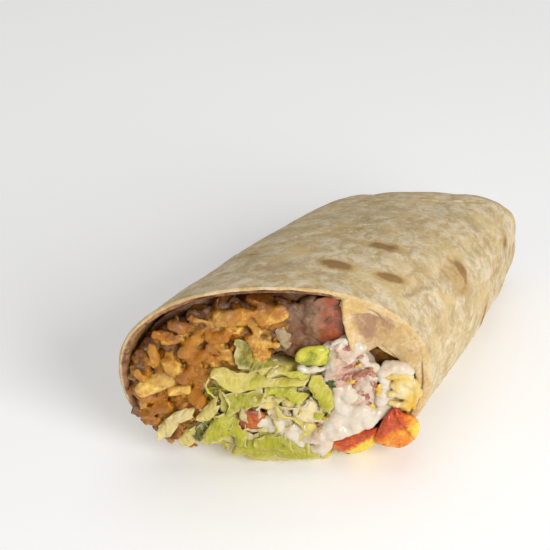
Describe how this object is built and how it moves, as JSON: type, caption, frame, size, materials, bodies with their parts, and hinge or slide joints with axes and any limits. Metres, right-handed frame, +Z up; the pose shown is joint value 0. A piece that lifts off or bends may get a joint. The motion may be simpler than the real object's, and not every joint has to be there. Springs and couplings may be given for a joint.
{
  "type": "cut burrito half",
  "caption": "Half of a burrito lying on its side, cut across at a slant: a rolled flour tortilla with rice, beans, lettuce, cream, cheese and diced vegetables showing at the cut.",
  "frame": {"origin": "under the middle of the bounding box, on the surface that the roll lies on", "axes": "+Z up, +Y along the roll from the cut to the closed end, +X to the right for someone facing the cut"},
  "size_m": [0.066, 0.1276, 0.056],
  "materials": {
    "tortilla": "soft, floury flatbread with toasted spots",
    "refried_beans": "smooth, slightly moist bean mash",
    "rice": "moist cooked grains stained orange",
    "lettuce": "moist shredded leaves",
    "lettuce_leaf": "moist bright green leaf",
    "sour_cream": "glossy cream with bits of salsa",
    "cheese": "soft melting shreds",
    "tomato": "wet diced flesh with a glossy skin",
    "avocado": "soft, smooth flesh"
  },
  "bodies": {
    "root": {"tortilla": "tortilla", "refried_beans": "refried_beans", "rice": "rice", "lettuce": "lettuce", "lettuce_leaf": "lettuce_leaf", "sour_cream": "sour_cream", "cheese": "cheese", "tomato_1": "tomato", "tomato_2": "tomato", "tomato_3": "tomato", "tomato_4": "tomato", "avocado": "avocado"}
  },
  "joints": []
}
